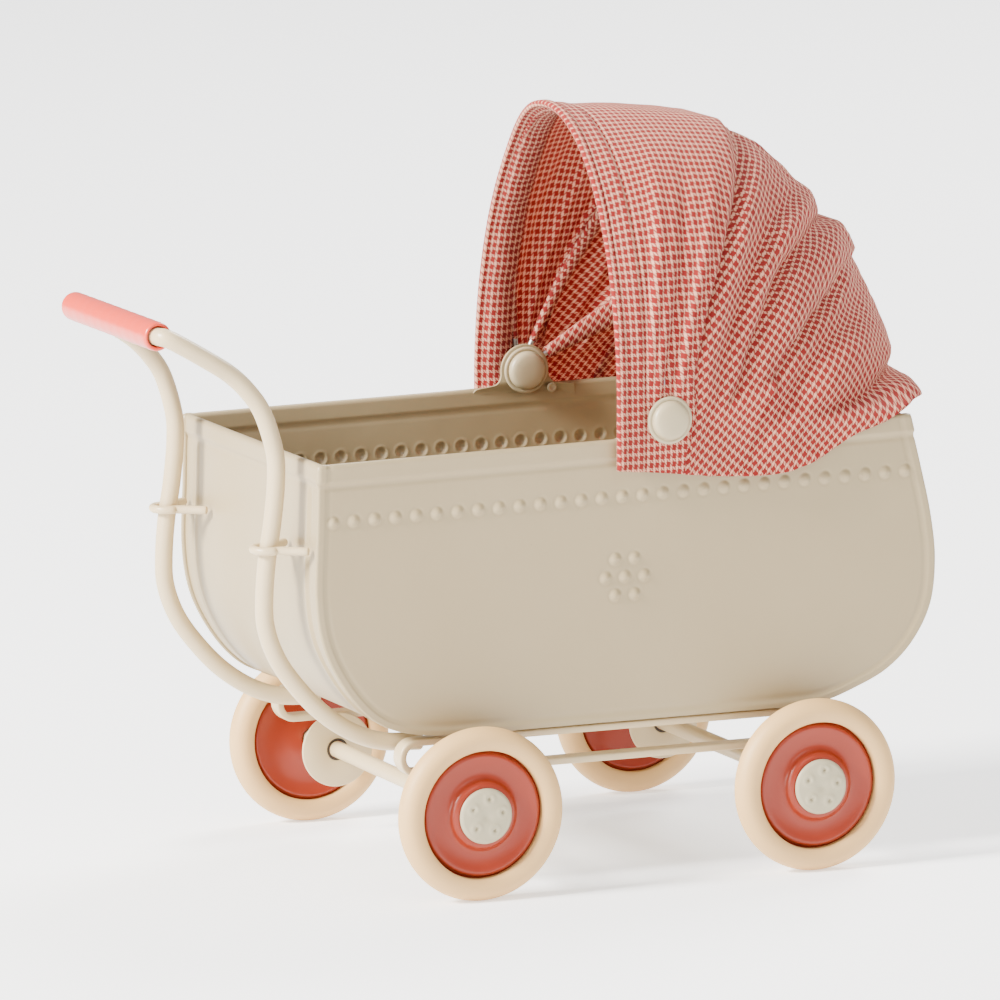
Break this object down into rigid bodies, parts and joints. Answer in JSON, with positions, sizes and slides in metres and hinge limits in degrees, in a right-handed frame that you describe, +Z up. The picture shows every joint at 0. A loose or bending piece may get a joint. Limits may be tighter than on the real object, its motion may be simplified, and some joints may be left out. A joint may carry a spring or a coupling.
{
  "type": "doll pram",
  "caption": "Small painted tin doll pram with a wire push handle, folding checked fabric hood, strap springs and coral wheels with cream tyres.",
  "frame": {"origin": "on the ground, under the middle of the whole length and width", "axes": "+Z up, -X towards the handle, +X towards the hood, +Y towards the left side"},
  "size_m": [0.1426, 0.0796, 0.1271],
  "materials": {
    "cream_tin": "satin enamel on thin tin",
    "cream_wire": "satin enamel on steel wire and strap",
    "cream_button": "satin enamel",
    "cream_tyre": "smooth",
    "coral_tin": "gloss enamel",
    "cap_cream": "satin enamel",
    "pink_grip": "gloss",
    "steel": "bare",
    "check_fabric": "woven cotton, small red and cream houndstooth"
  },
  "bodies": {
    "root": {"side_panel_right": "cream_tin", "side_panel_left": "cream_tin", "tub_wrap": "cream_tin", "hood_bracket_right": "cream_tin", "bracket_rivet_right": "steel", "pivot_pin_right": "steel", "outer_button_right": "cream_button", "inner_button_right": "cream_button", "hood_bracket_left": "cream_tin", "bracket_rivet_left": "steel", "pivot_pin_left": "steel", "outer_button_left": "cream_button", "inner_button_left": "cream_button", "hood_rear_panel": "check_fabric", "handle_wire": "cream_wire", "handle_grip": "pink_grip", "handle_clip_right": "cream_wire", "right_spring_strap": "cream_wire", "handle_clip_left": "cream_wire", "left_spring_strap": "cream_wire", "rear_right_axle_plate": "cream_wire", "rear_left_axle_plate": "cream_wire", "front_right_axle_plate": "cream_wire", "front_left_axle_plate": "cream_wire"},
    "rear_wheelset": {"rear_axle": "cream_wire", "rear_right_tyre": "cream_tyre", "rear_right_wheel_disc": "coral_tin", "rear_right_hub_cap": "cap_cream", "rear_left_tyre": "cream_tyre", "rear_left_wheel_disc": "coral_tin", "rear_left_hub_cap": "cap_cream"},
    "front_wheelset": {"front_axle": "cream_wire", "front_right_tyre": "cream_tyre", "front_right_wheel_disc": "coral_tin", "front_right_hub_cap": "cap_cream", "front_left_tyre": "cream_tyre", "front_left_wheel_disc": "coral_tin", "front_left_hub_cap": "cap_cream"},
    "rear_bow": {"rear_bow": "steel"},
    "middle_bow": {"middle_bow": "steel", "hood_middle_panel": "check_fabric"},
    "front_bow": {"front_bow": "steel", "hood_front_panel": "check_fabric"}
  },
  "joints": [
    {"name": "rear_axle_spin", "type": "hinge", "parent": "root", "child": "rear_wheelset", "pos_m": [-0.01998, 0, 0.0145], "axis": [0, 1, 0], "continuous": true},
    {"name": "front_axle_spin", "type": "hinge", "parent": "root", "child": "front_wheelset", "pos_m": [0.04056, 0, 0.0145], "axis": [0, 1, 0], "continuous": true},
    {"name": "rear_bow_fold", "type": "hinge", "parent": "root", "child": "rear_bow", "pos_m": [0.01649, 0, 0.07665], "axis": [0, 1, 0], "range_deg": [0, 18]},
    {"name": "middle_bow_fold", "type": "hinge", "parent": "rear_bow", "child": "middle_bow", "pos_m": [0.01649, 0, 0.07665], "axis": [0, 1, 0], "range_deg": [0, 19.5]},
    {"name": "front_bow_fold", "type": "hinge", "parent": "middle_bow", "child": "front_bow", "pos_m": [0.01649, 0, 0.07665], "axis": [0, 1, 0], "range_deg": [0, 21.1]}
  ],
  "couplings": [
    {"joint": "middle_bow_fold", "follows": "rear_bow_fold", "ratio": 1.083},
    {"joint": "front_bow_fold", "follows": "rear_bow_fold", "ratio": 1.166}
  ]
}
